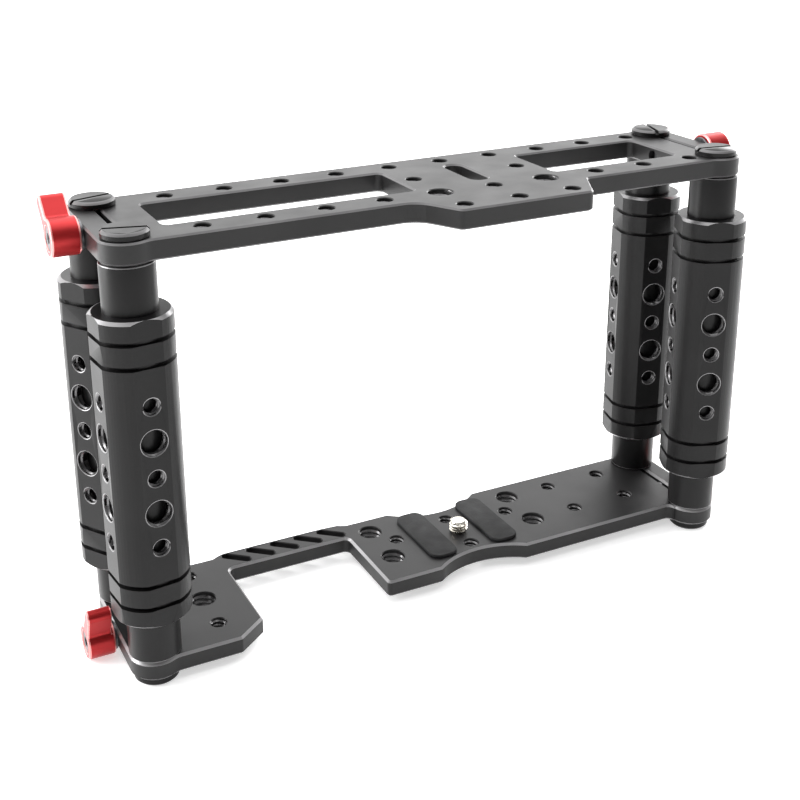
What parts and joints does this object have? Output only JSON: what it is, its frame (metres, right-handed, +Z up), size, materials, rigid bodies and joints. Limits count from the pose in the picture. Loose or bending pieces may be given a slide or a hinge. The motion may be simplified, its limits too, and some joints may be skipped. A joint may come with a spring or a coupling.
{
  "type": "camera cage",
  "caption": "Camera cage of two drilled plates on four posts with turning grip sleeves, red clamp knobs and a captive camera screw.",
  "frame": {"origin": "camera screw's axis at the bottom plate's top face", "axes": "+X along the plates, to the cage's right seen from the front; +Y to the back; +Z up along the camera screw"},
  "size_m": [0.2398, 0.0683, 0.1479],
  "materials": {
    "black_anodised": "satin anodised",
    "red_anodised": "satin anodised",
    "steel": "machined",
    "rubber": "matte",
    "nylon": "matte"
  },
  "bodies": {
    "cage": {"top_plate": "black_anodised", "bottom_plate": "black_anodised", "post_front_left": "black_anodised", "friction_rings_front_left": "rubber", "top_cap_front_left": "black_anodised", "foot_cap_front_left": "black_anodised", "post_rear_left": "black_anodised", "friction_rings_rear_left": "rubber", "top_cap_rear_left": "black_anodised", "foot_cap_rear_left": "black_anodised", "post_front_right": "black_anodised", "friction_rings_front_right": "rubber", "top_cap_front_right": "black_anodised", "foot_cap_front_right": "black_anodised", "post_rear_right": "black_anodised", "friction_rings_rear_right": "rubber", "top_cap_rear_right": "black_anodised", "foot_cap_rear_right": "black_anodised", "screw_washer": "nylon", "pad_left": "rubber", "pad_right": "rubber"},
    "grip_front_left": {"grip_front_left": "black_anodised"},
    "grip_rear_left": {"grip_rear_left": "black_anodised"},
    "grip_front_right": {"grip_front_right": "black_anodised"},
    "grip_rear_right": {"grip_rear_right": "black_anodised"},
    "knob_top_left": {"knob_top_left": "red_anodised", "clamp_screw_top_left": "steel", "knob_washer_top_left": "steel"},
    "knob_top_right": {"knob_top_right": "red_anodised", "clamp_screw_top_right": "steel", "knob_washer_top_right": "steel"},
    "knob_bottom_left": {"knob_bottom_left": "red_anodised", "clamp_screw_bottom_left": "steel", "knob_washer_bottom_left": "steel"},
    "knob_bottom_right": {"knob_bottom_right": "red_anodised", "clamp_screw_bottom_right": "steel", "knob_washer_bottom_right": "steel"},
    "camera_screw": {"camera_screw": "steel"}
  },
  "joints": [
    {"name": "grip_front_left_turn", "type": "hinge", "parent": "cage", "child": "grip_front_left", "pos_m": [-0.1174, -0.0199, 0.0628], "axis": [0, 0, 1], "continuous": true},
    {"name": "grip_rear_left_turn", "type": "hinge", "parent": "cage", "child": "grip_rear_left", "pos_m": [-0.1174, 0.0157, 0.0628], "axis": [0, 0, 1], "continuous": true},
    {"name": "grip_front_right_turn", "type": "hinge", "parent": "cage", "child": "grip_front_right", "pos_m": [0.0874, -0.0199, 0.0628], "axis": [0, 0, 1], "continuous": true},
    {"name": "grip_rear_right_turn", "type": "hinge", "parent": "cage", "child": "grip_rear_right", "pos_m": [0.0874, 0.0157, 0.0628], "axis": [0, 0, 1], "continuous": true},
    {"name": "knob_top_left_turn", "type": "hinge", "parent": "cage", "child": "knob_top_left", "pos_m": [-0.1254, -0.0021, 0.1288], "axis": [-1, 0, 0], "range_deg": [0, 450]},
    {"name": "knob_top_right_turn", "type": "hinge", "parent": "cage", "child": "knob_top_right", "pos_m": [0.0954, -0.0021, 0.1288], "axis": [1, 0, 0], "range_deg": [0, 450]},
    {"name": "knob_bottom_left_turn", "type": "hinge", "parent": "cage", "child": "knob_bottom_left", "pos_m": [-0.1254, -0.0021, -0.003], "axis": [-1, 0, 0], "range_deg": [0, 450]},
    {"name": "knob_bottom_right_turn", "type": "hinge", "parent": "cage", "child": "knob_bottom_right", "pos_m": [0.0954, -0.0021, -0.003], "axis": [1, 0, 0], "range_deg": [0, 450]},
    {"name": "camera_screw_turn", "type": "hinge", "parent": "cage", "child": "camera_screw", "pos_m": [0, 0, 0], "axis": [0, 0, 1], "continuous": true}
  ]
}
